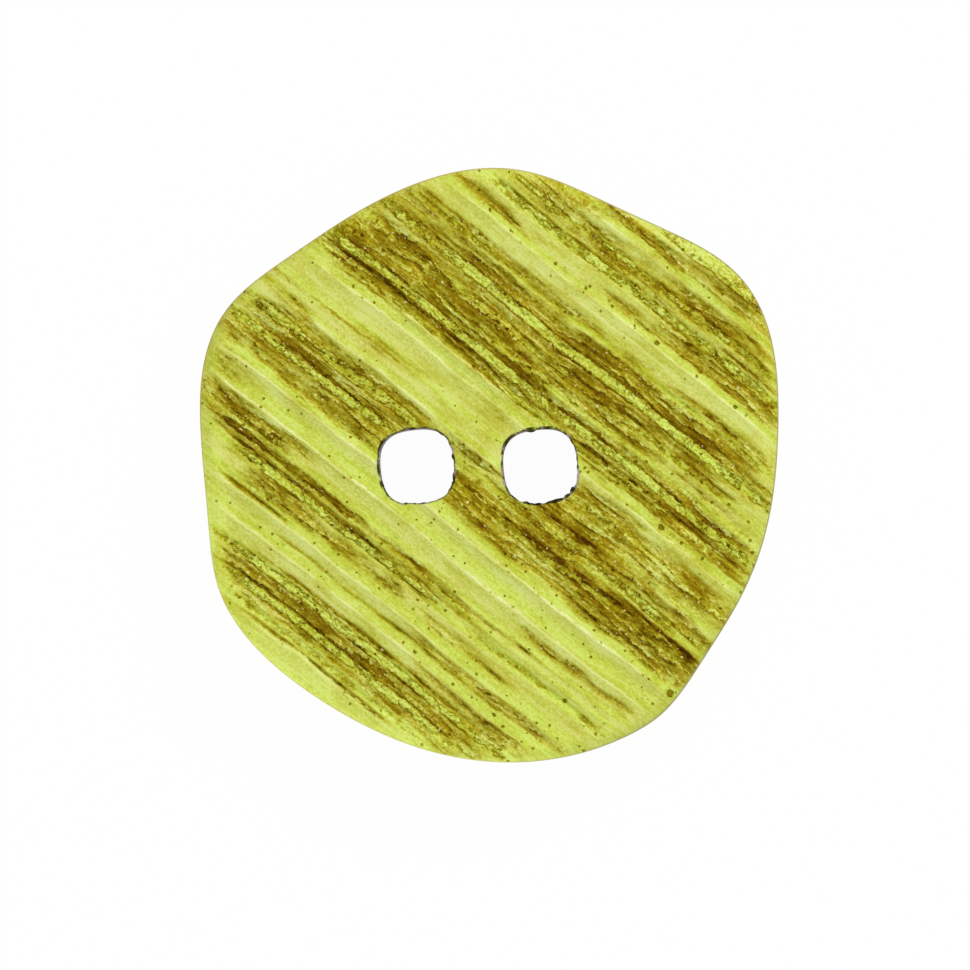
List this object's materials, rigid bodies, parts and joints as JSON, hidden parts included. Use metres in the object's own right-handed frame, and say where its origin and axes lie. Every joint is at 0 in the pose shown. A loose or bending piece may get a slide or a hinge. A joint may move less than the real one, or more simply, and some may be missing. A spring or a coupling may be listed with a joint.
{
  "type": "sew-through button",
  "caption": "Flat pebble-shaped sew-through button with soft corners, a combed wood-like lime and brown face and a pair of thread holes.",
  "frame": {"origin": "midway between the two thread holes, on the flat back", "axes": "+Z out of the combed face, +X along the line of the thread holes"},
  "size_m": [0.0201, 0.0207, 0.003],
  "materials": {
    "stained_resin": "satin, lime with rubbed-in brown stain"
  },
  "bodies": {
    "root": {"button": "stained_resin"}
  },
  "joints": []
}
